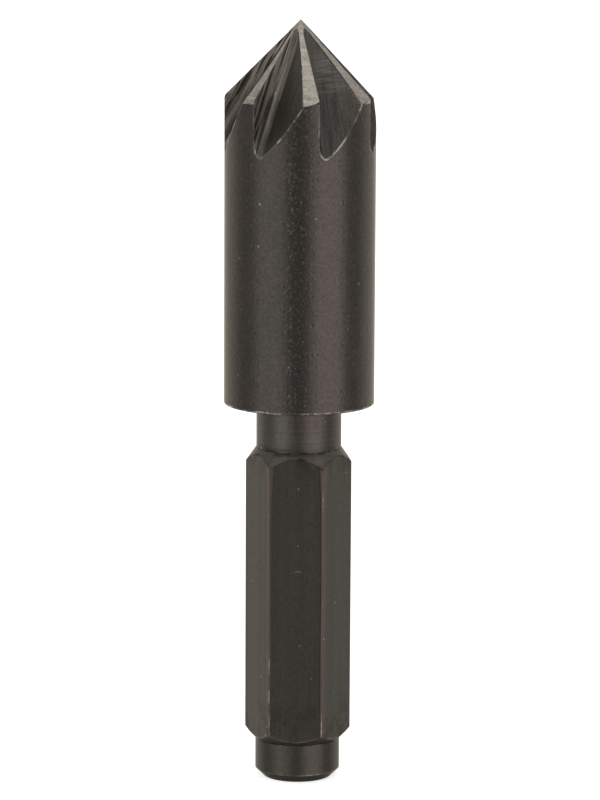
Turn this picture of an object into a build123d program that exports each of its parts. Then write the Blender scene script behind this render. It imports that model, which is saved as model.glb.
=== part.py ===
import os
from math import asin, cos, degrees, radians, sin, tan

from build123d import *

# Countersink bit: one bar of steel, turned and milled, with no loose or moving piece.
# Sizes are in millimetres and angles in degrees.
# The axis is +Z, with the origin at the middle of the flat shank end and the point at the top.
# -Y is the front, and one flat of the hexagon faces it, a few degrees off.

# Head and point
overall_length = 66.2
head_diameter = 13.0
head_length = 33.15
point_angle = 90.0
shoulder_rounding = 0.6
rim_rounding = 0.1

# Shank: hexagon bar between a round neck and a round pin
turned_diameter = 7.35
neck_length = 3.8
neck_corner_radius = 0.3
hex_across_flats = 8.0
hex_edge_radius = 0.2
hex_heading = 267.3
hex_top_chamfer_angle = 35.0
hex_bottom_chamfer_angle = 45.0
pin_length = 3.4
pin_chamfer = 0.7

# Teeth: right-hand cutting, so each cutting edge leads its land counter-clockwise seen from the point
tooth_count = 7
first_tooth_heading = 285.3
rake_behind_centre = 0.1
flute_slope = 28.1
flute_start_radius = 0.24
flute_back_rise = 14.3
flute_nose_radius = 0.12
flute_root_radius = 0.65
relief_angle = 14.5

# Derived places
head_radius = head_diameter / 2
turned_radius = turned_diameter / 2
rim_height = overall_length - head_length
point_height = head_radius / tan(radians(point_angle / 2))
shoulder_height = overall_length - point_height
hex_top = rim_height - neck_length
hex_corner_heading = hex_heading + 30
hex_corner_radius = hex_across_flats / 2 / cos(radians(30))
chamfer_reach = hex_corner_radius + pin_chamfer
chamfer_step = chamfer_reach - turned_radius

# The groove starts above the point and ends beyond the place where its root leaves the head
groove_width = head_diameter
groove_lead_in = head_radius / 2
groove_exit = (head_radius - flute_start_radius) / sin(radians(flute_slope))
groove_end = 1.25 * groove_exit
root_radius_growth = (flute_root_radius - flute_nose_radius) / (groove_lead_in + groove_exit)
groove_end_radius = flute_nose_radius + root_radius_growth * (groove_lead_in + groove_end)

# Relief: behind each cutting edge the cone is ground to a plane that holds the edge
# and falls away behind it. The cutter stands for a tooth on +X.
corner_heading = -degrees(asin(rake_behind_centre / head_radius))
tip = Vector(0, 0, overall_length)
edge_line = Vector(head_radius, 0, -point_height).rotate(Axis.Z, corner_heading)
cone_outward = Vector(point_height, 0, head_radius).rotate(Axis.Z, corner_heading)
relief_outward = cone_outward.rotate(Axis((0, 0, 0), edge_line), relief_angle)
relief_width = 1.5 * head_radius

with BuildPart() as relief_cutter:
    with BuildSketch(Plane(origin=tip, x_dir=edge_line, z_dir=relief_outward)):
        Rectangle(2 * head_diameter, relief_width)
    extrude(amount=head_radius)

# Flute: a straight groove that starts beside the tip and runs out through the side of the head.
# Its steep wall is the rake face, its flat wall the back of the next land, and its root
# is sharp at the point and rounder towards the end.
root_line = Vector(0, 0, -1).rotate(Axis.Y, -flute_slope)
root_start = Plane(origin=(flute_start_radius, 0, overall_length), x_dir=(0, 1, 0), z_dir=root_line)

with BuildPart() as flute_cutter:
    for distance, radius in ((-groove_lead_in, flute_nose_radius), (groove_end, groove_end_radius)):
        with BuildSketch(root_start.offset(distance)) as groove_section:
            with BuildLine():
                Polyline(
                    (-rake_behind_centre, 0),
                    (-rake_behind_centre, groove_width),
                    (groove_width, groove_width),
                    (groove_width, (groove_width + rake_behind_centre) * tan(radians(flute_back_rise))),
                    close=True,
                )
            make_face()
            fillet(groove_section.vertices().sort_by(Axis.Y)[0], radius=radius)
    loft(ruled=True)

with BuildPart() as countersink_bit:
    # Everything turned about the axis: pin, core of the shank, neck, head and point
    with BuildSketch(Plane.XZ):
        with BuildLine():
            Polyline(
                (0, 0),
                (turned_radius - pin_chamfer, 0),
                (turned_radius, pin_chamfer),
                (turned_radius, rim_height),
                (head_radius, rim_height),
                (head_radius, shoulder_height),
                (0, overall_length),
                close=True,
            )
        make_face()
    revolve(axis=Axis.Z)

    # Corners of the head: worn shoulder, broken rim, and a neck corner left by a round-nosed tool
    turned_edges = edges().filter_by(GeomType.CIRCLE)
    neck_corner, rim = turned_edges.filter_by_position(Axis.Z, rim_height, rim_height).sort_by(SortBy.RADIUS)
    shoulder = turned_edges.filter_by_position(Axis.Z, shoulder_height, shoulder_height)
    fillet(shoulder, radius=shoulder_rounding)
    fillet(rim, radius=rim_rounding)
    fillet(neck_corner, radius=neck_corner_radius)

    # Hexagon bar with softened long edges
    with BuildSketch(Plane.XY.offset(pin_length)) as hex_section:
        RegularPolygon(hex_across_flats / 2, 6, major_radius=False, rotation=hex_corner_heading)
        fillet(hex_section.vertices(), radius=hex_edge_radius)
    extrude(amount=hex_top - pin_length)

    # Both ends of the hexagon are turned to cones, which leaves a scalloped edge on each flat
    with BuildSketch(Plane.XZ):
        with BuildLine():
            Polyline(
                (turned_radius, hex_top),
                (chamfer_reach, hex_top),
                (chamfer_reach, hex_top - chamfer_step / tan(radians(hex_top_chamfer_angle))),
                close=True,
            )
        make_face()
        with BuildLine():
            Polyline(
                (turned_radius, pin_length),
                (chamfer_reach, pin_length),
                (chamfer_reach, pin_length + chamfer_step / tan(radians(hex_bottom_chamfer_angle))),
                close=True,
            )
        make_face()
    revolve(axis=Axis.Z, mode=Mode.SUBTRACT)

    # The flutes are milled first, then each land left between them is ground
    with PolarLocations(0, tooth_count, start_angle=first_tooth_heading):
        add(flute_cutter.part, mode=Mode.SUBTRACT)
        add(relief_cutter.part, mode=Mode.SUBTRACT)

countersink_bit.part.label = "countersink_bit"
os.makedirs("parts", exist_ok=True)
export_step(countersink_bit.part, "parts/countersink_bit.step")

print(f"volume {countersink_bit.part.volume:.1f} mm3, faces {len(countersink_bit.faces())}")
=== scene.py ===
import math

import bmesh
import bpy
from mathutils import Matrix, Vector, kdtree


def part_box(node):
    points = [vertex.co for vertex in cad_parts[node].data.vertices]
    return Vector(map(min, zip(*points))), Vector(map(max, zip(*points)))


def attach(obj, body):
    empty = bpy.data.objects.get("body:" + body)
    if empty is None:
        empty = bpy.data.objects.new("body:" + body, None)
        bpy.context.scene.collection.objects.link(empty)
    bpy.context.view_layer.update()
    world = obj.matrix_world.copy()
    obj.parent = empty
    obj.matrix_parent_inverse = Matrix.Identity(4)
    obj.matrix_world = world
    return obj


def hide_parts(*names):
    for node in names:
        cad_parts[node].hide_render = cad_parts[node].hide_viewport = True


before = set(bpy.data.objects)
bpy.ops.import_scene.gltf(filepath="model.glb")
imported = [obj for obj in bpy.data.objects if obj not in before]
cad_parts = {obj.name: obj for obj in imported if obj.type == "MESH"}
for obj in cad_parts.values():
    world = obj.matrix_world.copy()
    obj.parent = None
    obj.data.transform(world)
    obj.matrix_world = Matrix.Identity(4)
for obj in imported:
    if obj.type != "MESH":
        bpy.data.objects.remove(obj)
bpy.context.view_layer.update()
mm = 0.001

camera = {
    "distance": 0.36,
    "height": 0.033275,  # height of the point on the axis that the camera aims at
    "sideStep": 0.000088,
    "lookDown": 9.964,
    "roll": 0.298,
    "focalPixels": 4163.1,
    "frameHeight": 800.0,
    "sensorHeight": 24.0,
}


def placeCamera(values):
    data = bpy.data.cameras.new("camera")
    data.sensor_fit = "VERTICAL"
    data.sensor_height = values["sensorHeight"]
    data.lens = values["sensorHeight"] * values["focalPixels"] / values["frameHeight"]
    data.clip_start = 0.01
    data.clip_end = 20.0
    made = bpy.data.objects.new("camera", data)
    bpy.context.scene.collection.objects.link(made)
    pitch = math.radians(values["lookDown"])
    made.location = (
        values["sideStep"],
        -values["distance"] * math.cos(pitch),
        values["height"] + values["distance"] * math.sin(pitch),
    )
    aim = Matrix.Rotation(math.radians(90) - pitch, 4, "X")
    lean = Matrix.Rotation(math.radians(values["roll"]), 4, "Z")
    made.rotation_euler = (aim @ lean).to_euler()
    bpy.context.scene.camera = made
    print("camera placed")


class Wire:
    # one socket of a node tree, usable in sums
    def __init__(self, tree, socket):
        self.tree = tree
        self.socket = socket

    def math(self, operation, *others):
        return self.tree.node("ShaderNodeMath", {"operation": operation}, [self, *others])

    def __add__(self, other):
        return self.math("ADD", other)

    def __sub__(self, other):
        return self.math("SUBTRACT", other)

    def __mul__(self, other):
        return self.math("MULTIPLY", other)

    def __rsub__(self, other):
        return self.tree.node("ShaderNodeMath", {"operation": "SUBTRACT"}, [other, self])

    __radd__ = __add__
    __rmul__ = __mul__

    def abs(self):
        return self.math("ABSOLUTE")

    def max(self, other):
        return self.math("MAXIMUM", other)

    def step(self, low, high):
        # 0 below low, 1 above high, smooth between
        return self.tree.node(
            "ShaderNodeMapRange",
            {"interpolation_type": "SMOOTHSTEP"},
            {"Value": self, "From Min": low, "From Max": high},
        )

    def band(self, middle, halfWidth, fade):
        # 1 within halfWidth of the middle, falling to 0 over the fade
        return 1.0 - (self - middle).abs().step(halfWidth, halfWidth + fade)

    def part(self, name):
        # another output of the same node
        return Wire(self.tree, self.socket.node.outputs[name])


class Shader:
    # the node tree of one material or of the world
    def __init__(self, nodeTree):
        self.nodes = nodeTree.nodes
        self.links = nodeTree.links
        self.nodes.clear()

    def node(self, kind, settings=None, inputs=None, output=0):
        made = self.nodes.new(kind)
        for name, value in (settings or {}).items():
            setattr(made, name, value)
        pairs = inputs.items() if isinstance(inputs, dict) else enumerate(inputs or [])
        for key, value in pairs:
            if isinstance(value, Wire):
                self.links.new(value.socket, made.inputs[key])
            else:
                made.inputs[key].default_value = value
        return Wire(self, made.outputs[output]) if made.outputs else None

    def mix(self, amount, first, second):
        # colours: first where amount is 0, second where it is 1
        return self.node(
            "ShaderNodeMix",
            {"data_type": "RGBA"},
            {0: amount, 6: self.colour(first), 7: self.colour(second)},
            output=2,
        )

    def colour(self, value):
        return value if isinstance(value, Wire) else (*value[:3], 1.0)

    def place(self):
        return self.node("ShaderNodeTexCoord", output="Object")

    def axes(self, vector):
        made = self.node("ShaderNodeSeparateXYZ", None, [vector])
        return made.part("X"), made.part("Y"), made.part("Z")

    def heading(self, vector):
        # degrees from the front, positive to the right
        x, y = self.axes(vector)[:2]
        return self.node("ShaderNodeMath", {"operation": "ARCTAN2"}, [x, y * -1.0]) * (180 / math.pi)

    def attribute(self, name, output="Fac"):
        return self.node("ShaderNodeAttribute", {"attribute_name": name}, output=output)

    def stretch(self, vector, scale):
        return self.node("ShaderNodeVectorMath", {"operation": "MULTIPLY"}, [vector, scale])

    def noise(self, vector, scale, detail, roughness=0.55):
        return self.node(
            "ShaderNodeTexNoise",
            None,
            {"Vector": vector, "Scale": scale, "Detail": detail, "Roughness": roughness},
        )

    def dots(self, vector, scale, share, low, high):
        # small round spots: 1 inside low, 0 beyond high, in a share of the cells
        cell = self.node("ShaderNodeTexVoronoi", None, {"Vector": vector, "Scale": scale})
        chance = self.axes(cell.part("Color"))[0]
        return (1.0 - cell.step(low, high)) * (1.0 - chance.step(share, share + 0.002))

    def spots(self, place, marks):
        # one round mark for each (heading, height in mm, radius of the surface in mm, size in mm)
        total = 0.0
        for heading, height, radius, size in marks:
            turn = math.radians(heading)
            point = (radius * mm * math.sin(turn), -radius * mm * math.cos(turn), height * mm)
            apart = {"operation": "DISTANCE"}
            away = self.node("ShaderNodeVectorMath", apart, [place, point], output="Value")
            total = total + (1.0 - away.step(size * 0.4 * mm, size * mm))
        return total

    def bump(self, height, strength, distance, normal=None):
        inputs = {"Height": height, "Strength": strength, "Distance": distance}
        if normal is not None:
            inputs["Normal"] = normal
        return self.node("ShaderNodeBump", None, inputs)


studio = {
    "floorSize": 6.0,
    "floorColour": (0.86, 0.86, 0.86),
    "floorGlow": 0.7,
    "background": 1.0,  # what the camera sees behind the object
    "fill": 0.85,  # what lights matt surfaces
    # the rest is what polished metal reflects, by heading and by height
    "facing": 0.34,
    "leftBox": 0.98,
    "rightBox": 1.2,
    "frontMiddle": -1.5,
    "sideChange": 25.0,  # the left box turns into the right one within this heading
    "boxStart": 3.0,
    "boxFull": 35.0,
    "gap": 0.46,
    "gapStart": 57.0,
    "gapFull": 84.0,
    "backStart": 93.0,
    "backFull": 132.0,
    "back": 0.95,
    "above": 0.56,
    "aboveFrom": (0.15, 0.4),  # heights on the sky, from -1 below to 1 overhead
    "ceiling": 1.15,
    "ceilingFrom": (0.86, 0.95),
    "under": 0.32,
    "underFrom": (-0.6, -0.4),
}


def buildFloor(values):
    bm = bmesh.new()
    bmesh.ops.create_grid(bm, x_segments=1, y_segments=1, size=values["floorSize"] / 2)
    mesh = bpy.data.meshes.new("floor")
    bm.to_mesh(mesh)
    bm.free()
    made = bpy.data.objects.new("floor", mesh)
    bpy.context.scene.collection.objects.link(made)
    material = bpy.data.materials.new("paleFloor")
    material.use_nodes = True
    mesh.materials.append(material)
    tree = Shader(material.node_tree)
    rays = tree.node("ShaderNodeLightPath", output="Is Camera Ray")
    matt = tree.node("ShaderNodeBsdfDiffuse", None, {"Color": (*values["floorColour"], 1.0)})
    glow = tree.node("ShaderNodeEmission", None, {"Strength": rays * values["floorGlow"]})
    seen = tree.node("ShaderNodeAddShader", None, [matt, glow])
    clear = tree.node("ShaderNodeBsdfTransparent")
    shown = tree.node("ShaderNodeMixShader", None, [rays.part("Is Glossy Ray"), seen, clear])
    tree.node("ShaderNodeOutputMaterial", None, {"Surface": shown})
    print("floor laid")


def buildStudio(values):
    # a white tent with a soft box on each side of a darker front
    # headings run from 0 at the front to 180 at the back
    world = bpy.data.worlds.new("studio")
    bpy.context.scene.world = world
    world.use_nodes = True
    tree = Shader(world.node_tree)
    sky = tree.node("ShaderNodeTexCoord", output="Generated")
    height = tree.axes(sky)[2]
    turn = tree.heading(sky)
    side = turn.abs()
    toRight = turn.step(-values["sideChange"], values["sideChange"])
    box = toRight * (values["rightBox"] - values["leftBox"]) + values["leftBox"]
    fromFront = (turn - values["frontMiddle"]).abs().step(values["boxStart"], values["boxFull"])
    level = fromFront * (box - values["facing"]) + values["facing"]
    intoGap = side.step(values["gapStart"], values["gapFull"])
    level = level + intoGap * (values["gap"] - level)
    intoBack = side.step(values["backStart"], values["backFull"])
    level = level + intoBack * (values["back"] - level)
    above = height.step(*values["aboveFrom"])
    level = level + above * (values["above"] - level)
    overhead = height.step(*values["ceilingFrom"])
    level = level + overhead * (values["ceiling"] - level)
    below = 1.0 - height.step(*values["underFrom"])
    level = level + below * (values["under"] - level)
    rays = tree.node("ShaderNodeLightPath", output="Is Camera Ray")
    glossy = rays.part("Is Glossy Ray")
    strength = values["fill"] + glossy * (level - values["fill"])
    strength = strength + rays * (values["background"] - strength)
    light = tree.node("ShaderNodeBackground", None, {"Strength": strength})
    tree.node("ShaderNodeOutputWorld", None, {"Surface": light})
    print("studio lit")


bit = {
    "pinLength": 3.4 * mm,
    "hexTop": 29.25 * mm,
    "rimHeight": 33.05 * mm,
    "headRadius": 6.5 * mm,
    "turnedRadius": 3.675 * mm,
    "hexHeading": 267.3,
    "teeth": 7,
    "fluteShare": 0.27,  # share of the pitch behind a cutting edge that still belongs to its tooth
    "landStart": 0.4,  # share of the pitch ahead of it where the next tooth's land begins
    "firstTooth": 285.3,
    "rakeBehind": 0.1 * mm,
    "fluteSlope": 28.1,
    "fluteStart": 0.24 * mm,
    "relief": 14.5,
    "landWidth": (0.2, 0.115, 0.0085),  # of the ground strip: fixed, per mm and per square mm of depth
    # for each tooth: how much narrower the middle of its strip is, and how high the strip ends, both
    # in mm, and how strong the painted highlight along the root of its flute and the painted shade on
    # its flat wall are
    "landWaist": [0.0, 0.05, 0.1, 0.05, 0.1, 0.05, 0.16],
    "landFoot": [59.75, 59.3, 59.6, 59.45, 59.65, 59.4, 59.4],
    "rootHighlightWallShade": [0.12, 0.7, 0.5, 0.85, 0.45, 0.5, 1.0],
    # where one finish gives way to the next
    "rimBand": 0.4 * mm,  # the rim and the inside corner below it stay black
    "sideReach": 0.988,  # share of the head's radius beyond which a face is on its side
    "shoulder": (0.9, 1.06),  # depths of the worn shoulder, as shares of the head's radius
    "shoulderReach": 0.955,
    "shoulderLean": 46.0,
    "tipDepth": 0.9 * mm,  # bits of cone above this depth are as bright as the lands
    "planeMatch": 0.997,  # cosine between a face and the plane that it is taken to lie in
    "roundSlack": 0.03 * mm,  # how far a facet may lie inside its true circle
    "smallestEdge": 0.03 * mm,
    "flatAngle": 0.3,  # faces that differ by less are joined
    "sharpAngle": 24.0,
    "edgeBreak": 0.03 * mm,
    "edgeStep": 0.06 * mm,  # between the points that mark the sharp edges
    # cutting planes that give the surface enough points to carry its marks
    "ringStep": 0.35 * mm,
    "wedgeStep": 4.0,
    "wedgeStart": 1.3,
    "fluteStep": 0.45 * mm,
    "fluteShift": 0.37,  # share of a step, so that no plane holds the axis
    "cutSlack": 0.004 * mm,
}
# how bare the line on each kind of edge is; a negative value paints a shade line instead
wearAndShadeOfEdge = {
    "rim": 1.0,
    "fluteBack": 0.9,
    "fluteRake": 0.35,
    "cuttingEdge": 0.9,
    "heel": 0.0,
    "hexEnd": -0.8,  # painted shade line instead of bare metal
    "hexFoot": 0.22,
    "pinRim": 0.35,
}


def toothOf(values, place):
    # number of the nearest tooth, and the turn that brings that tooth to +X
    pitch = 360.0 / values["teeth"]
    heading = math.degrees(math.atan2(place.y, place.x)) - values["firstTooth"]
    tooth = math.floor((heading + values["fluteShare"] * pitch) / pitch)
    return tooth, Matrix.Rotation(-math.radians(values["firstTooth"] + tooth * pitch), 3, "Z")


def isLand(values, face, spin):
    # whether the face lies in the ground plane behind a cutting edge, of this tooth or of a neighbour
    pitch = math.radians(360.0 / values["teeth"])
    lean = math.radians(values["relief"])
    onCone = math.cos(lean) * math.sqrt(0.5)
    wanted = Vector((onCone, -math.sin(lean), onCone))
    wanted = Matrix.Rotation(-math.asin(values["rakeBehind"] / values["headRadius"]), 3, "Z") @ wanted
    normal = spin @ face.normal
    turned = [Matrix.Rotation(-side * pitch, 3, "Z") @ normal for side in (0, -1, 1)]
    return any(each.dot(wanted) > values["planeMatch"] for each in turned)


def finishOf(values, tip, face):
    middle = face.calc_center_median()
    radius = math.hypot(middle.x, middle.y)
    if middle.z > values["rimHeight"] - 0.02 * mm:
        out = face.normal.dot(Vector((middle.x, middle.y, 0.0)).normalized())
        return headFinish(values, face, tip - middle.z, radius / values["headRadius"], out)
    onHexagon = values["pinLength"] + 0.01 * mm < middle.z < values["hexTop"] - 0.01 * mm
    return "drawnHexagon" if onHexagon and abs(face.normal.z) < 0.2 else "turnedShank"


def headFinish(values, face, down, reach, out):
    # down: below the tip; reach: share of the head's radius; out: how far the face looks outwards
    middle = face.calc_center_median()
    if middle.z < values["rimHeight"] + values["rimBand"]:
        return "blackHead"
    if reach > values["sideReach"] and out > 0.995 and abs(face.normal.z) < 0.05:
        return "blackHead"
    if isLand(values, face, toothOf(values, middle)[1]):
        return "groundLand"
    lean = math.degrees(math.atan2(face.normal.z, out))
    top, foot = values["shoulder"]
    atShoulder = top < down / values["headRadius"] < foot and reach > values["shoulderReach"]
    if atShoulder and out > 0.6 and face.normal.z > 0.02 and lean < values["shoulderLean"]:
        return "blackHead"
    onCone = reach * values["headRadius"] > down * 0.97 and out > 0.5
    return "groundLand" if onCone and down < values["tipDepth"] else "milledFlute"


def edgeKind(values, edge):
    # which line, worn bare or painted shade, a sharp edge carries, as named in wearAndShadeOfEdge
    nameOf = list(finishes)
    sides = list(edge.link_faces)
    names = {nameOf[f.material_index] for f in sides}
    middle = (edge.verts[0].co + edge.verts[1].co) / 2
    if "milledFlute" in names:
        wall = next(f for f in sides if nameOf[f.material_index] == "milledFlute")
        spin = toothOf(values, wall.calc_center_median())[1]
        atRake = (spin @ wall.normal).y > 0.8
        if "groundLand" in names:
            return "cuttingEdge" if atRake else "heel"
        return "fluteRake" if atRake else "fluteBack"
    if names == {"blackHead"}:
        return "rim" if middle.z < values["rimHeight"] + 0.5 * mm else "heel"
    if "drawnHexagon" in names:
        return "hexEnd" if middle.z > values["hexTop"] / 2 else "hexFoot"
    return "pinRim" if middle.z < values["pinLength"] - 0.1 * mm else "hexEnd"


def buildBit(values):
    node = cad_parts["countersink_bit"]
    low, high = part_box("countersink_bit")
    names = list(finishes)
    bm = bmesh.new()
    bm.from_mesh(node.data)
    bmesh.ops.remove_doubles(bm, verts=bm.verts, dist=values["smallestEdge"])
    bmesh.ops.dissolve_degenerate(bm, dist=values["smallestEdge"] / 3, edges=bm.edges)
    flat = math.radians(values["flatAngle"])
    bmesh.ops.dissolve_limit(bm, angle_limit=flat, verts=bm.verts, edges=bm.edges)
    for face in bm.faces:
        face.material_index = names.index(finishOf(values, high.z, face))
        face.smooth = True
    limit = math.radians(values["sharpAngle"])
    sharp = [e for e in bm.edges if e.is_manifold and e.calc_face_angle() > limit]
    edgePoints = []
    for edge in sharp:
        wearAndShade = wearAndShadeOfEdge[edgeKind(values, edge)]
        first, second = (v.co.copy() for v in edge.verts)
        steps = max(1, math.ceil((second - first).length / values["edgeStep"]))
        edgePoints.extend((first.lerp(second, i / steps), wearAndShade) for i in range(steps + 1))
    bmesh.ops.bevel(
        bm, geom=sharp, offset=values["edgeBreak"], offset_type="OFFSET", segments=2,
        profile=0.5, affect="EDGES", material=-1, clamp_overlap=True,
    )
    print("bevelled", len(bm.faces), "faces,", len(sharp), "sharp edges")
    divide(bm, values, low.z, high.z, names.index("milledFlute"))
    roundSides(bm, values)
    mesh = bpy.data.meshes.new("bit")
    bm.to_mesh(mesh)
    bm.free()
    setNormals(mesh, values)
    markEdges(mesh, edgePoints)
    markPlaces(mesh, values, high.z)
    made = bpy.data.objects.new("bit", mesh)
    bpy.context.scene.collection.objects.link(made)
    for name, make in finishes.items():
        mesh.materials.append(make(name))
    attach(made, "root")
    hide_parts("countersink_bit")
    print("bit", len(mesh.polygons), "faces")


def divide(bm, values, bottom, top, milled):
    # rings and wedges through the whole piece, and a finer square grid through the flutes alone
    height = bottom + values["ringStep"]
    while height < top:
        cut(bm, values, (0, 0, height), (0, 0, 1))
        height += values["ringStep"]
    for i in range(int(180 / values["wedgeStep"])):
        turn = math.radians(i * values["wedgeStep"] + values["wedgeStart"])
        cut(bm, values, (0, 0, 0), (math.cos(turn), math.sin(turn), 0))
    reach = int(values["headRadius"] / values["fluteStep"])
    for i in range(-reach, reach):
        offset = (i + values["fluteShift"]) * values["fluteStep"]
        cut(bm, values, (offset, 0, 0), (1, 0, 0), milled)
        cut(bm, values, (0, offset, 0), (0, 1, 0), milled)
    bmesh.ops.triangulate(bm, faces=[f for f in bm.faces if len(f.verts) > 4])


def cut(bm, values, place, normal, finish=None):
    # a plane divides all the faces, or those of one finish
    geometry = bm.verts[:] + bm.edges[:] + bm.faces[:]
    if finish is not None:
        faces = [f for f in bm.faces if f.material_index == finish]
        edges = dict.fromkeys(e for f in faces for e in f.edges)
        geometry = [*faces, *edges, *dict.fromkeys(v for f in faces for v in f.verts)]
    slack = values["cutSlack"]
    bmesh.ops.bisect_plane(bm, geom=geometry, dist=slack, plane_co=place, plane_no=normal)


def roundSides(bm, values):
    # the new points of the turned sides move out onto their true circles
    for face in bm.faces:
        face.smooth = True
        if not isRound(values, face.normal, face.calc_center_median()):
            continue
        for vertex in face.verts:
            radius = math.hypot(vertex.co.x, vertex.co.y)
            scale = nearestRadius(values, radius) / radius
            vertex.co = (vertex.co.x * scale, vertex.co.y * scale, vertex.co.z)


def nearestRadius(values, radius):
    return min((values["headRadius"], values["turnedRadius"]), key=lambda r: abs(r - radius))


def isRound(values, normal, middle):
    # a facet of the turned side of the head, neck or pin
    out = Vector((middle.x, middle.y, 0.0))
    miss = abs(nearestRadius(values, out.length) - out.length)
    level = abs(normal.z) < 0.02 and normal.dot(out.normalized()) > 0.99
    return level and miss < values["roundSlack"]


def setNormals(mesh, values):
    # turned sides get their true round normals; elsewhere the larger faces lead, so flats stay flat
    shared = [Vector() for v in mesh.vertices]
    for face in mesh.polygons:
        for index in face.vertices:
            shared[index] += face.normal * face.area
    normals = []
    for face in mesh.polygons:
        turned = isRound(values, face.normal, face.center)
        for index in face.vertices:
            place = mesh.vertices[index].co
            normal = Vector((place.x, place.y, 0.0)) if turned else shared[index]
            normals.append(normal.normalized())
    mesh.normals_split_custom_set(normals)


def mark(mesh, name, numbers):
    # one number, or three in a row, for each point of the mesh
    single = len(numbers) == len(mesh.vertices)
    made = mesh.attributes.new(name, "FLOAT" if single else "FLOAT_VECTOR", "POINT")
    made.data.foreach_set("value" if single else "vector", numbers)


def markEdges(mesh, edgePoints):
    # edgeDistance: millimetres to the nearest sharp edge
    # edgeWearAndShade: how worn that edge is, and where negative, how dark its painted shade line is
    tree = kdtree.KDTree(len(edgePoints))
    for i, edgePoint in enumerate(edgePoints):
        tree.insert(edgePoint[0], i)
    tree.balance()
    found = [tree.find(v.co) for v in mesh.vertices]
    mark(mesh, "edgeDistance", [distance / mm for point, i, distance in found])
    mark(mesh, "edgeWearAndShade", [edgePoints[i][1] for point, i, distance in found])


def markPlaces(mesh, values, tip):
    # groove: millimetres across and along each flute, and the number of its tooth
    # landReach: millimetres above the foot of the tooth's land
    # landSpare: millimetres from a point behind the cutting edge to the end of the ground strip
    # rootHighlightWallShade: how strong the painted highlight along the root of the tooth's flute and
    # the painted shade on its flat wall are
    # corner: millimetres to the nearest long edge of the hexagon, first signed and then plain
    slope = math.radians(values["fluteSlope"])
    pitch = 360.0 / values["teeth"]
    grooves, reaches, spares, roots, corners = [], [], [], [], []
    for v in mesh.vertices:
        tooth, spin = toothOf(values, v.co)
        local = spin @ v.co
        out = local.x - values["fluteStart"]
        down = tip - local.z
        rise = math.cos(slope) * out - math.sin(slope) * down
        along = math.sin(slope) * out + math.cos(slope) * down
        across = local.y + values["rakeBehind"] - rise
        grooves.extend((across / mm, along / mm, float(tooth % values["teeth"])))
        roots.append(values["rootHighlightWallShade"][tooth % values["teeth"]])
        ahead = math.degrees(math.atan2(local.y, local.x))
        owner = tooth + (1 if ahead > values["landStart"] * pitch else 0)
        reaches.append(v.co.z / mm - values["landFoot"][owner % values["teeth"]])
        back = Matrix.Rotation(math.radians(tooth - owner) * pitch, 3, "Z") @ local
        depth = max(down, 0.0) / mm
        ground = sum(width * depth**power for power, width in enumerate(values["landWidth"]))
        part = min(depth * mm / values["headRadius"], 1.0)
        ground -= values["landWaist"][owner % values["teeth"]] * 4 * part * (1 - part)
        spares.append(ground + (back.y + values["rakeBehind"]) / mm)
        heading = math.degrees(math.atan2(v.co.y, v.co.x)) - values["hexHeading"] - 30.0
        turn = math.radians((heading + 30.0) % 60.0 - 30.0)
        side = math.hypot(v.co.x, v.co.y) * math.sin(turn) / mm
        corners.extend((side, abs(side), 0.0))
    mark(mesh, "groove", grooves)
    mark(mesh, "landReach", reaches)
    mark(mesh, "landSpare", spares)
    mark(mesh, "rootHighlightWallShade", roots)
    mark(mesh, "corner", corners)


oxide = {
    "grey": (0.098, 0.087, 0.077),
    "olive": (0.096, 0.0885, 0.075),
    "pinkBrown": (0.118, 0.094, 0.085),
    "dark": (0.068, 0.06, 0.052),
    "pale": (0.135, 0.122, 0.108),
    "palest": (0.165, 0.152, 0.136),
    "speckle": (0.24, 0.22, 0.195),
    "bare": (0.5, 0.45, 0.4),
    "black": (0.02, 0.018, 0.015),
    "grazing": (0.8, 0.77, 0.68),  # tint of what the surface reflects at a low angle
    "metallic": 0.92,
    "fineBump": 0.02 * mm,
    "coarseBump": 0.03 * mm,
    "grainScale": 4300.0,
    "mottleScale": 1900.0,
    "spotScale": 800.0,
    "spotStrength": 0.8,
    "raggedScale": 3500.0,  # of the bare lines along the edges
    "raggedDepth": 0.06,  # in mm
    "breakScale": 800.0,
}


def newMaterial(name):
    material = bpy.data.materials.new(name)
    material.use_nodes = True
    return material, Shader(material.node_tree)


def finishSurface(tree, colour, roughness, normal, metallic):
    surface = tree.node(
        "ShaderNodeBsdfPrincipled",
        None,
        {
            "Base Color": colour,
            "Roughness": roughness,
            "Metallic": metallic,
            "Specular Tint": (*oxide["grazing"], 1.0),
            "Normal": normal,
        },
    )
    tree.node("ShaderNodeOutputMaterial", None, {"Surface": surface})


def wornAndShadedEdges(tree, place, colour, width):
    # a ragged bare line along the sharp edges, broken here and there; some edges get a painted shade
    # line instead
    ragged = tree.noise(place, oxide["raggedScale"], 3.0) * oxide["raggedDepth"]
    line = 1.0 - (tree.attribute("edgeDistance") - ragged).step(width * 0.4, width)
    breaks = tree.noise(place, oxide["breakScale"], 5.0, 0.8).step(0.44, 0.6)
    wearAndShade = tree.attribute("edgeWearAndShade") * line * (breaks * 0.9 + 0.1)
    colour = tree.mix(wearAndShade.max(0.0), colour, oxide["bare"])
    # painted shade: edges with a negative value get a dark line
    return tree.mix((wearAndShade * -1.0).max(0.0), colour, oxide["black"])


def speckled(tree, place, colour, share, strength=1.0):
    # fine mottle, dark flecks and a few pale scratched spots
    grain = tree.noise(place, oxide["grainScale"], 2.0, 0.7)
    mottle = tree.noise(place, oxide["mottleScale"], 3.0, 0.75)
    colour = tree.mix(grain.step(0.48, 0.7) * (0.55 * strength), colour, oxide["pale"])
    colour = tree.mix((1.0 - grain.step(0.3, 0.52)) * (0.55 * strength), colour, oxide["dark"])
    colour = tree.mix(mottle.step(0.52, 0.7) * 0.3, colour, oxide["dark"])
    spots = tree.dots(place, oxide["spotScale"], share, 0.09, 0.15) * oxide["spotStrength"]
    return tree.mix(spots, colour, oxide["speckle"]), grain


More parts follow.
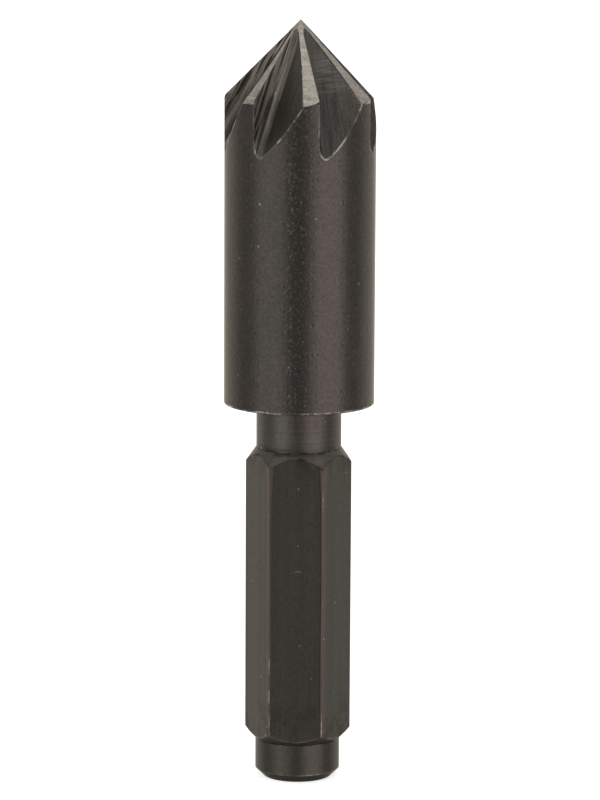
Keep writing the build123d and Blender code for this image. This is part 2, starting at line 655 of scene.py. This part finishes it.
head = {
    "patchScale": 330.0,
    "warmSheenSide": (27.0, 7.0, 14.0),  # heading, half width and fade of the painted warm sheen where the right light band is reflected
    "darkReflectionBand": (-2.5, 5.5, 3.5),  # the same of the painted dark reflection down the middle that faces the camera, which also carries flecks
    "darkReflectionStrength": 0.45,
    "fleckScale": 4600.0,
    "fleckStrength": 0.85,
    "spotShare": 0.02,
    "landWobble": 0.12,
    "wornWidth": 0.1,
    "pitScale": 2600.0,
    "roughness": 0.15,
    "roughnessSpread": 0.08,
    "nickStrength": 0.55,
    # heading from the front, height, radius and size of single bright nicks
    "nicks": [
        (-32.5, 47.4, 6.5, 0.13), (-52.5, 46.2, 6.5, 0.10), (-53.4, 36.1, 6.5, 0.10),
        (-8.0, 37.2, 6.5, 0.11), (39.5, 40.3, 6.5, 0.10), (-5.8, 50.7, 6.5, 0.12),
        (0.8, 51.3, 6.5, 0.11), (12.1, 49.9, 6.5, 0.10), (-5.4, 49.5, 6.5, 0.10),
        (0.3, 50.6, 6.5, 0.08), (-31.6, 51.0, 6.5, 0.14),
    ],
}


def blackHead(name):
    material, tree = newMaterial(name)
    place = tree.place()
    turn = tree.heading(place)
    patches = tree.noise(tree.stretch(place, (1.0, 1.0, 0.5)), head["patchScale"], 4.0, 0.6)
    colour = tree.mix(patches.step(0.38, 0.52), oxide["olive"], oxide["grey"])
    # painted reflection: a lighter pink-brown on the right side stands for the reflected right light
    # band; the random patches are the oxide's own tone
    warmSheen = turn.band(*head["warmSheenSide"]) * patches.step(0.25, 0.45)
    colour = tree.mix(patches.step(0.5, 0.62).max(warmSheen) * 0.85, colour, oxide["pinkBrown"])
    colour, grain = speckled(tree, place, colour, head["spotShare"])
    # painted dark reflection: the colour is darkened in a band down the front middle; the oxide's real
    # flecks are shown only within it
    darkReflectionBand = turn.band(*head["darkReflectionBand"])
    colour = tree.mix(darkReflectionBand * head["darkReflectionStrength"], colour, oxide["dark"])
    flecks = tree.noise(place, head["fleckScale"], 4.0, 0.85).step(0.54, 0.62)
    colour = tree.mix(flecks * darkReflectionBand * head["fleckStrength"], colour, oxide["speckle"])
    nicks = tree.spots(place, head["nicks"]) * head["nickStrength"]
    colour = tree.mix(nicks, colour, oxide["bare"])
    # the foot of each ground land lies on the worn shoulder
    wobble = (tree.noise(place, 2500.0, 2.0) - 0.5) * head["landWobble"]
    bright = (tree.attribute("landReach") + wobble).step(-0.02, 0.03)
    colour = tree.mix(bright, colour, land["dull"])
    colour = wornAndShadedEdges(tree, place, colour, head["wornWidth"])
    pits = tree.dots(place, head["pitScale"], 0.4, 0.1, 0.45)
    normal = tree.bump(grain, 0.2, oxide["coarseBump"])
    normal = tree.bump(pits, 0.5, oxide["coarseBump"], normal)
    metallic = oxide["metallic"] + bright * (land["metallic"] - oxide["metallic"])
    roughness = head["roughness"] + patches * head["roughnessSpread"]
    finishSurface(tree, colour, roughness, normal, metallic)
    return material


land = {
    "bright": (0.61, 0.56, 0.495),
    "dull": (0.44, 0.4, 0.345),
    "stain": (0.27, 0.235, 0.195),
    "shine": (0.74, 0.69, 0.62),
    "metallic": 0.64,
    "roughness": 0.32,
    "roughnessSpread": 0.1,
    "lineStretch": (700.0, 700.0, 5200.0),
    "scratchStretch": (900.0, 900.0, 3600.0),
    "cloudScale": 1300.0,
    "grainScale": 5200.0,
    "scratchedFoot": (0.2, 2.2),  # mm above the foot between which the scratches fade
    "stainedTip": (0.5, 1.6),  # mm along the flute between which the tip's stain fades
    "stainedEdge": (0.04, 0.16),  # mm from the edges between which their stain fades
    "heelWobble": 0.14,
}


def groundLand(name):
    material, tree = newMaterial(name)
    place = tree.place()
    lines = tree.noise(tree.stretch(place, land["lineStretch"]), 1.0, 3.0, 0.7)
    cloud = tree.noise(place, land["cloudScale"], 4.0, 0.75)
    grain = tree.noise(place, land["grainScale"], 3.0, 0.75)
    colour = tree.mix(lines.step(0.38, 0.62) * 0.8, land["bright"], land["dull"])
    colour = tree.mix(cloud.step(0.5, 0.66) * 0.6, colour, land["stain"])
    colour = tree.mix((1.0 - grain.step(0.36, 0.5)) * 0.55, colour, land["stain"])
    colour = tree.mix(grain.step(0.56, 0.68) * 0.7, colour, land["shine"])
    foot = 1.0 - tree.attribute("landReach").step(*land["scratchedFoot"])
    scratches = tree.noise(tree.stretch(place, land["scratchStretch"]), 1.0, 4.0, 0.75)
    colour = tree.mix(foot * scratches.step(0.5, 0.6) * 0.55, colour, land["stain"])
    along = tree.axes(tree.attribute("groove", "Vector"))[1]
    colour = tree.mix((1.0 - along.step(*land["stainedTip"])) * 0.4, colour, land["stain"])
    edge = tree.attribute("edgeDistance") + grain * 0.08
    colour = tree.mix((1.0 - edge.step(*land["stainedEdge"])) * 0.45, colour, land["stain"])
    # behind the ground strip the land is as dark as a flute
    wobble = (cloud - 0.5) * land["heelWobble"]
    ground = (tree.attribute("landSpare") + wobble).step(-0.03, 0.03)
    colour = tree.mix(ground, flute["dark"], colour)
    normal = tree.bump(lines, 0.2, oxide["fineBump"])
    roughness = land["roughness"] + cloud * land["roughnessSpread"]
    finishSurface(tree, colour, roughness, normal, land["metallic"])
    return material


flute = {
    "dark": (0.043, 0.039, 0.033),
    "grey": (0.125, 0.116, 0.103),
    "light": (0.3, 0.278, 0.248),
    "stripe": (0.47, 0.42, 0.362),
    # colour of the painted highlight along the root, with brown stains
    "root": (0.36, 0.335, 0.3),
    "rootBrown": (0.25, 0.2, 0.15),
    "brown": (0.11, 0.08, 0.062),
    "black": (0.035, 0.031, 0.026),
    "metallic": 0.5,
    "roughness": 0.36,
    "roughnessSpread": 0.1,
    # marks per mm across the flute and along it, and their shift from tooth to tooth
    "streakStretch": (5.0, 0.2, 9.0),
    "stainStretch": (2.0, 0.16, 5.0),
    "stripeStretch": (3.4, 0.13, 8.3),
    "rippleStretch": (0.5, 5.0, 3.0),
    "grainScale": 6500.0,
    "rootHighlightBand": (0.3, 0.27, 0.12),  # mm across: middle, half width and fade of the painted highlight along the root, on partly bare metal
    "chatter": (5.2, 1.1, 1.4),  # mm along: middle, half width and fade of the rippled part
    "wornWidth": 0.08,
}


def milledFlute(name):
    material, tree = newMaterial(name)
    place = tree.place()
    groove = tree.attribute("groove", "Vector")
    rootHighlightWallShade = tree.attribute("rootHighlightWallShade")
    across, along = tree.axes(groove)[:2]
    streaks = tree.noise(tree.stretch(groove, flute["streakStretch"]), 1.0, 5.0, 0.7)
    stains = tree.noise(tree.stretch(groove, flute["stainStretch"]), 1.0, 3.0, 0.6)
    stripes = tree.noise(tree.stretch(groove, flute["stripeStretch"]), 1.0, 2.0, 0.65)
    ripples = tree.noise(tree.stretch(groove, flute["rippleStretch"]), 1.0, 3.0, 0.6)
    grain = tree.noise(place, flute["grainScale"], 3.0, 0.75)
    # the flat wall, darker away from the tip, with painted shade in the flutes whose root carries the
    # painted highlight
    colour = tree.mix(streaks.step(0.3, 0.68), flute["dark"], flute["grey"])
    colour = tree.mix((1.0 - along.step(3.0, 9.0)) * 0.12, colour, flute["light"])
    # painted shade: the flat wall darkens away from the tip, in proportion to the root's painted
    # highlight
    depth = along.step(4.0, 10.0) * 0.42 + 0.35
    colour = tree.mix(rootHighlightWallShade * depth, colour, flute["dark"])
    # the rake face, with bright stripes and brown stains
    faded = 1.0 - along.step(6.3, 8.6) * 0.35
    striped = tree.mix(stripes.step(0.47, 0.515) * faded, flute["black"], flute["stripe"])
    striped = tree.mix(stains.step(0.5, 0.6) * 0.8, striped, flute["brown"])
    striped = tree.mix(streaks.step(0.5, 0.7) * 0.4, striped, flute["dark"])
    colour = tree.mix(1.0 - across.step(-0.2, -0.05), colour, striped)
    # the root: painted highlight on partly bare metal, strongest in the middle of its length
    rootHighlightBand = across.band(*flute["rootHighlightBand"]) * (streaks.step(0.3, 0.5) * 0.5 + 0.5) * rootHighlightWallShade
    rootHighlightTint = tree.mix(stains.step(0.47, 0.6) * 0.7, flute["root"], flute["rootBrown"])
    fade = (along.step(1.8, 3.6) * 0.6 + 0.4) * (1.0 - along.step(6.8, 8.2) * 0.3)
    fade = fade * (1.0 - along.step(9.6, 11.4) * 0.55)
    colour = tree.mix(rootHighlightBand * fade, colour, rootHighlightTint)
    # the marks of the cutter on the flat wall, in the flutes with little painted highlight on the root
    chatter = along.band(*flute["chatter"]) * across.step(0.2, 0.8)
    chatter = chatter * (1.0 - rootHighlightWallShade.step(0.3, 0.6))
    colour = tree.mix(chatter * ripples.step(0.4, 0.6) * 0.4, colour, flute["light"])
    # fine grain and single spots
    colour = tree.mix(grain.step(0.5, 0.75) * 0.25, colour, flute["light"])
    colour = tree.mix((1.0 - grain.step(0.25, 0.5)) * 0.4, colour, flute["black"])
    spots = tree.dots(place, 500.0, 0.03, 0.06, 0.13) * oxide["spotStrength"]
    colour = tree.mix(spots, colour, oxide["speckle"])
    colour = wornAndShadedEdges(tree, place, colour, flute["wornWidth"])
    normal = tree.bump(streaks, 0.3, oxide["coarseBump"])
    normal = tree.bump(ripples, 0.12, oxide["coarseBump"], normal)
    normal = tree.bump(grain, 0.2, oxide["fineBump"], normal)
    roughness = flute["roughness"] + stains * flute["roughnessSpread"]
    finishSurface(tree, colour, roughness, normal, flute["metallic"])
    return material


hexagon = {
    "grey": (0.117, 0.112, 0.099),
    "brown": (0.12, 0.108, 0.091),
    "front": (0.109, 0.0965, 0.08),
    "left": (0.13, 0.124, 0.114),
    "frontFlat": (-2.7, 29.0, 1.0),  # heading, half width and fade of the front flat, which gets painted shade
    "leftFlat": (-62.7, 29.0, 1.0),
    "leftBand": (0.152, 0.127, 0.102),
    "rightWearAndSheen": (0.158, 0.123, 0.104),
    "bandWidth": 0.25,
    "bandGrowth": 0.2,
    "bandGrows": (23.5 * mm, 29.0 * mm),  # heights between which it does
    "bandShift": 0.13,
    "wander": 0.3,  # mm, of the bands from side to side
    "drawnStretch": (2600.0, 2600.0, 35.0),
    "cloudScale": 420.0,
    "spotShare": 0.012,
    "footRubs": (4.6 * mm, 9.0 * mm),
    "topRubs": (26.5 * mm, 28.5 * mm),
    "wornWidth": 0.1,
    "metallic": 0.9,
    "roughness": 0.3,
    "roughnessSpread": 0.08,
    "nickStrength": 0.5,
    # heading from the front, height, radius and size of single bright nicks
    "nicks": [
        (0.0, 26.2, 4.00, 0.12), (-0.3, 21.2, 4.00, 0.09), (-3.1, 18.9, 4.00, 0.08),
        (-1.5, 19.0, 4.00, 0.07), (0.1, 18.9, 4.00, 0.08), (1.7, 19.0, 4.01, 0.07),
        (3.8, 18.9, 4.03, 0.08), (16.0, 9.5, 4.22, 0.09), (2.2, 12.4, 4.01, 0.10),
        (-73.7, 17.5, 4.08, 0.13), (-51.0, 9.3, 4.08, 0.12), (53.2, 15.9, 4.01, 0.12),
        (77.1, 27.1, 4.25, 0.10), (-36.6, 23.8, 4.45, 0.10), (29.5, 13.0, 4.52, 0.15),
        (-37.0, 5.1, 4.44, 0.14), (-39.2, 4.3, 4.36, 0.16), (25.3, 4.5, 4.72, 0.16),
    ],
}


def drawnHexagon(name):
    material, tree = newMaterial(name)
    place = tree.place()
    turn = tree.heading(place)
    height = tree.axes(place)[2]
    drawn = tree.noise(tree.stretch(place, hexagon["drawnStretch"]), 1.0, 3.0)
    cloud = tree.noise(tree.stretch(place, (1.0, 1.0, 0.5)), hexagon["cloudScale"], 3.0, 0.6)
    colour = tree.mix(cloud.step(0.4, 0.6), hexagon["grey"], hexagon["brown"])
    # painted shade darkens the front flat and painted light lightens the left flat, for how the light
    # falls on them
    colour = tree.mix(turn.band(*hexagon["frontFlat"]) * 0.8, colour, hexagon["front"])
    colour = tree.mix(turn.band(*hexagon["leftFlat"]) * 0.6, colour, hexagon["left"])
    colour = tree.mix(drawn.step(0.4, 0.7) * 0.3, colour, oxide["dark"])
    colour, grain = speckled(tree, place, colour, hexagon["spotShare"], 0.65)
    colour = wornCornersAndSheen(tree, place, colour, cloud, turn, height)
    # rubbed scratches at both ends of the flats
    ends = (1.0 - height.step(*hexagon["footRubs"])).max(height.step(*hexagon["topRubs"]))
    rubs = tree.noise(tree.stretch(place, (900.0, 900.0, 500.0)), 1.0, 5.0, 0.75)
    colour = tree.mix(ends * rubs.step(0.5, 0.58) * 0.7, colour, oxide["dark"])
    colour = tree.mix(ends * (1.0 - rubs.step(0.33, 0.42)) * 0.3, colour, oxide["palest"])
    nicks = tree.spots(place, hexagon["nicks"]) * hexagon["nickStrength"]
    colour = tree.mix(nicks, colour, oxide["bare"])
    colour = wornAndShadedEdges(tree, place, colour, hexagon["wornWidth"])
    normal = tree.bump(drawn, 0.06, oxide["fineBump"])
    normal = tree.bump(grain, 0.25, oxide["fineBump"], normal)
    roughness = hexagon["roughness"] + cloud * hexagon["roughnessSpread"]
    finishSurface(tree, colour, roughness, normal, hexagon["metallic"])
    return material


def wornCornersAndSheen(tree, place, colour, cloud, turn, height):
    # the long edges: a lighter tinted band, wider at the top, partly worn metal and partly a painted
    # highlight where the rounded corner turns towards the light, with a dark line outside and a bare
    # one inside
    side, distance = tree.axes(tree.attribute("corner", "Vector"))[:2]
    wander = tree.noise(tree.stretch(place, (300.0, 300.0, 90.0)), 1.0, 3.0)
    wander = (wander - 0.5) * hexagon["wander"]
    near = 1.0 - distance.step(0.6, 0.8)
    width = hexagon["bandWidth"] + height.step(*hexagon["bandGrows"]) * hexagon["bandGrowth"]
    outward = turn.step(-5.0, 5.0) * 2.0 - 1.0
    reach = (side + wander - outward * hexagon["bandShift"]).abs() - width
    band = near - near * reach.step(-0.04, 0.04)
    # painted highlight: the lighter band along each corner stands partly for worn metal and partly for
    # light on the rounded corner
    tint = tree.mix(turn.step(-5.0, 5.0), hexagon["leftBand"], hexagon["rightWearAndSheen"])
    colour = tree.mix(band * (cloud.step(0.15, 0.5) * 0.4 + 0.6), colour, tint)
    outside = (reach - 0.03).band(0.0, 0.01, 0.05) * near * (1.0 - side.step(-0.1, 0.0))
    colour = tree.mix(outside * 0.45, colour, oxide["black"])
    thin = (side + wander - 0.02).band(0.0, 0.012, 0.05) * near
    # the bare line is broken into nicks, closer together towards the foot
    nicks = tree.noise(tree.stretch(place, (400.0, 400.0, 200.0)), 1.0, 4.0, 0.75)
    low = 1.0 - height.step(6.0 * mm, 16.0 * mm)
    nicks = (nicks + low * 0.07 - height.step(18.5 * mm, 22.0 * mm) * 0.05).step(0.52, 0.66)
    colour = tree.mix(thin * (1.0 - nicks) * 0.4, colour, oxide["dark"])
    return tree.mix(thin * nicks * 0.95, colour, oxide["bare"])


shank = {
    "lineStretch": (70.0, 70.0, 4800.0),
    "streakStretch": (800.0, 800.0, 70.0),
    "smudgeStretch": (350.0, 350.0, 2200.0),
    "cloudScale": 700.0,
    "pin": (3.3 * mm, 3.4 * mm),  # heights between which one surface gives way to the next
    "footChamfer": (3.4 * mm, 3.5 * mm),
    "topChamfer": (29.2 * mm, 29.3 * mm),
    "neck": (29.4 * mm, 29.5 * mm),
    "neckShadow": (29.45 * mm, 0.0, 0.35 * mm),  # height, half width and fade of the painted shadow line below the neck
    "frontFoot": (29.1 * mm, 0.0, 0.3 * mm),  # the same where the painted shadow line dips at the front
    "spotShare": 0.02,
    "wornWidth": 0.09,
    "roughness": 0.25,
    "roughnessSpread": 0.08,
    "nickStrength": 0.8,
    "nicks": [(-62.3, 29.3, 3.675, 0.17), (38.0, 31.9, 3.675, 0.08)],
}


def turnedShank(name):
    material, tree = newMaterial(name)
    place = tree.place()
    turn = tree.heading(place)
    height = tree.axes(place)[2]
    lines = tree.noise(tree.stretch(place, shank["lineStretch"]), 1.0, 5.0, 0.8)
    cloud = tree.noise(tree.stretch(place, (1.0, 1.0, 0.4)), shank["cloudScale"], 4.0, 0.7)
    toRight = turn.step(-30.0, 30.0)
    colour = tree.mix((cloud + toRight * 0.2).step(0.5, 0.66), oxide["olive"], oxide["pinkBrown"])
    colour = tree.mix(lines.step(0.42, 0.62) * 0.4, colour, oxide["palest"])
    streaks = tree.noise(tree.stretch(place, shank["streakStretch"]), 1.0, 3.0, 0.7)
    colour = tree.mix(streaks.step(0.4, 0.6) * 0.3, colour, oxide["palest"])
    # painted highlight: the left side of the neck is lightened
    neckLeftHighlight = height.step(*shank["neck"]) * (1.0 - turn.step(-30.0, 5.0))
    colour = tree.mix(neckLeftHighlight * 0.4, colour, oxide["palest"])
    onChamfer = height.step(*shank["footChamfer"]) - height.step(*shank["topChamfer"])
    colour = tree.mix(onChamfer * 0.75, colour, oxide["palest"])
    smudges = tree.noise(tree.stretch(place, shank["smudgeStretch"]), 1.0, 4.0, 0.7).step(0.32, 0.52)
    smudged = onChamfer * smudges * turn.band(0.0, 24.0, 12.0)
    colour = tree.mix(smudged * 0.75, colour, oxide["speckle"])
    # painted shadow: a dark line just below the neck, dipping at the front, broken by the smudges
    shadowDip = height.band(*shank["frontFoot"]) * turn.band(0.0, 30.0, 12.0)
    neckShadow = height.band(*shank["neckShadow"]) + shadowDip
    colour = tree.mix(neckShadow * (1.0 - smudges * 0.7) * 0.6, colour, oxide["black"])
    onPin = 1.0 - height.step(*shank["pin"])
    colour = tree.mix(onPin * (toRight * 0.2 + 0.35), colour, oxide["dark"])
    colour, grain = speckled(tree, place, colour, shank["spotShare"], 0.6)
    nicks = tree.spots(place, shank["nicks"]) * shank["nickStrength"]
    colour = tree.mix(nicks, colour, oxide["bare"])
    colour = wornAndShadedEdges(tree, place, colour, shank["wornWidth"])
    normal = tree.bump(lines, 0.17, oxide["coarseBump"])
    normal = tree.bump(grain, 0.15, oxide["fineBump"], normal)
    roughness = shank["roughness"] + cloud * shank["roughnessSpread"]
    finishSurface(tree, colour, roughness, normal, oxide["metallic"])
    return material


finishes = {
    "blackHead": blackHead,
    "groundLand": groundLand,
    "milledFlute": milledFlute,
    "drawnHexagon": drawnHexagon,
    "turnedShank": turnedShank,
}

bpy.context.scene.view_settings.view_transform = "Standard"
placeCamera(camera)
buildFloor(studio)
buildStudio(studio)
buildBit(bit)
